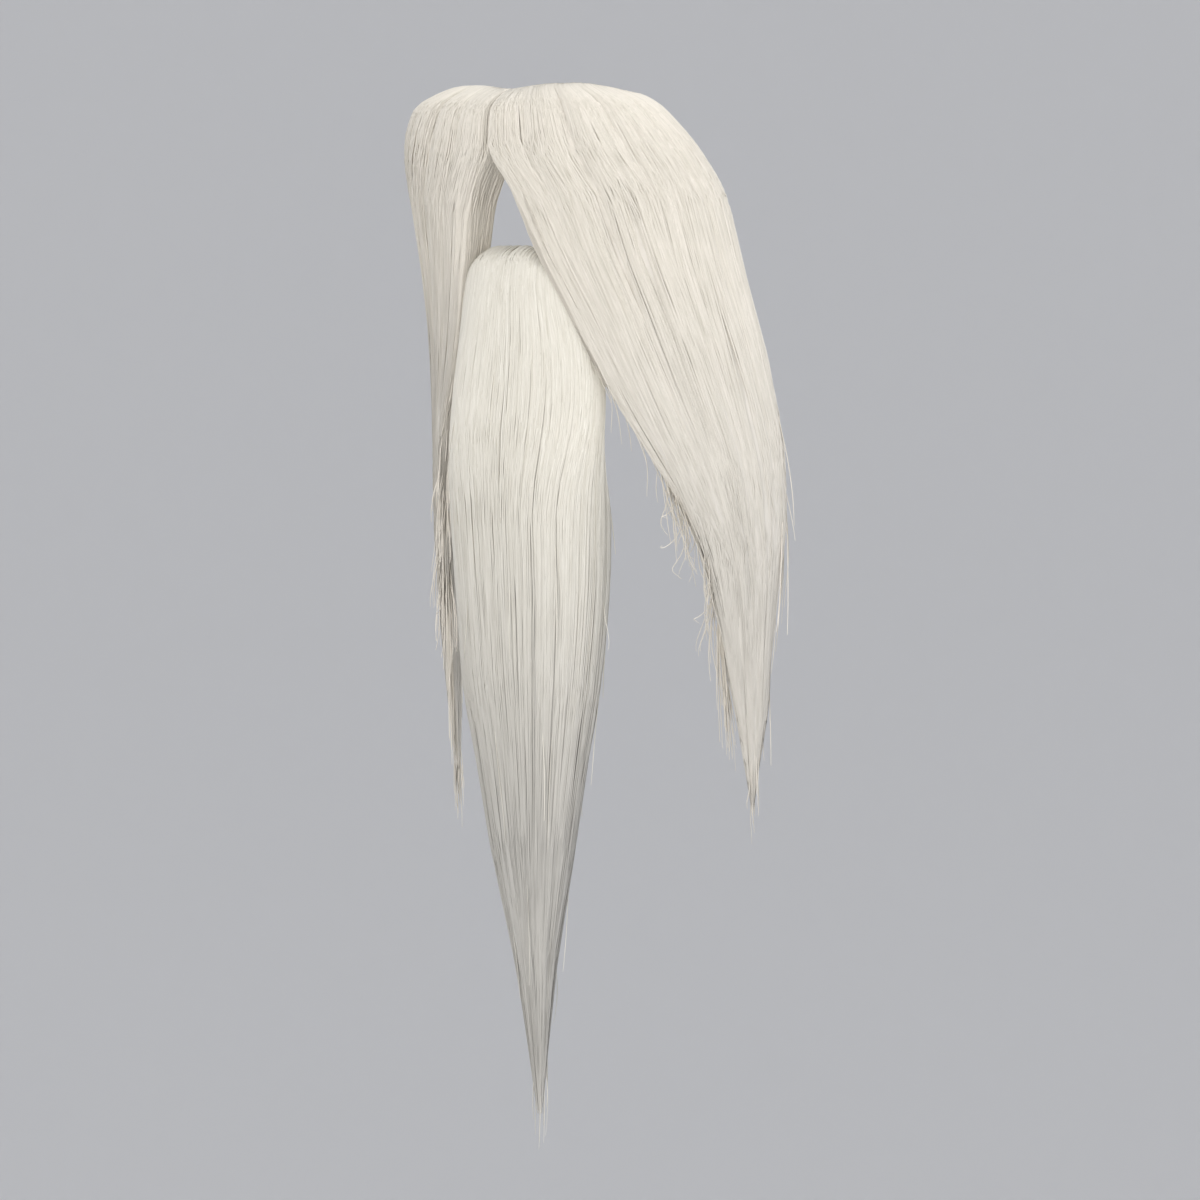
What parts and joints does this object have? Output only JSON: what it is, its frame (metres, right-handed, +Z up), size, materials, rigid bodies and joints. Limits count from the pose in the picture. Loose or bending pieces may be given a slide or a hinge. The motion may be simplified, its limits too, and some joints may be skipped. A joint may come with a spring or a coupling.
{
  "type": "fake beard with moustache",
  "caption": "Stick-on false beard: long drooping moustache in two halves and a long pointed chin tuft of ivory fibre on a cloth foundation.",
  "frame": {"origin": "on the skin under the nose, on the middle plane of the face, where the moustache sits", "axes": "+Z up, the wearer looks along -Y, the wearer's left is +X"},
  "size_m": [0.1072, 0.0413, 0.224],
  "materials": {
    "beard_cloth": "fine plain-woven ivory cloth, matt",
    "moustache_hair": "combed ivory synthetic fibre, satin, slightly cool",
    "chin_hair": "combed ivory synthetic fibre, satin, slightly warm"
  },
  "bodies": {
    "root": {"foundation": "beard_cloth", "moustache_left": "moustache_hair", "moustache_right": "moustache_hair", "chin_beard": "chin_hair"}
  },
  "joints": []
}
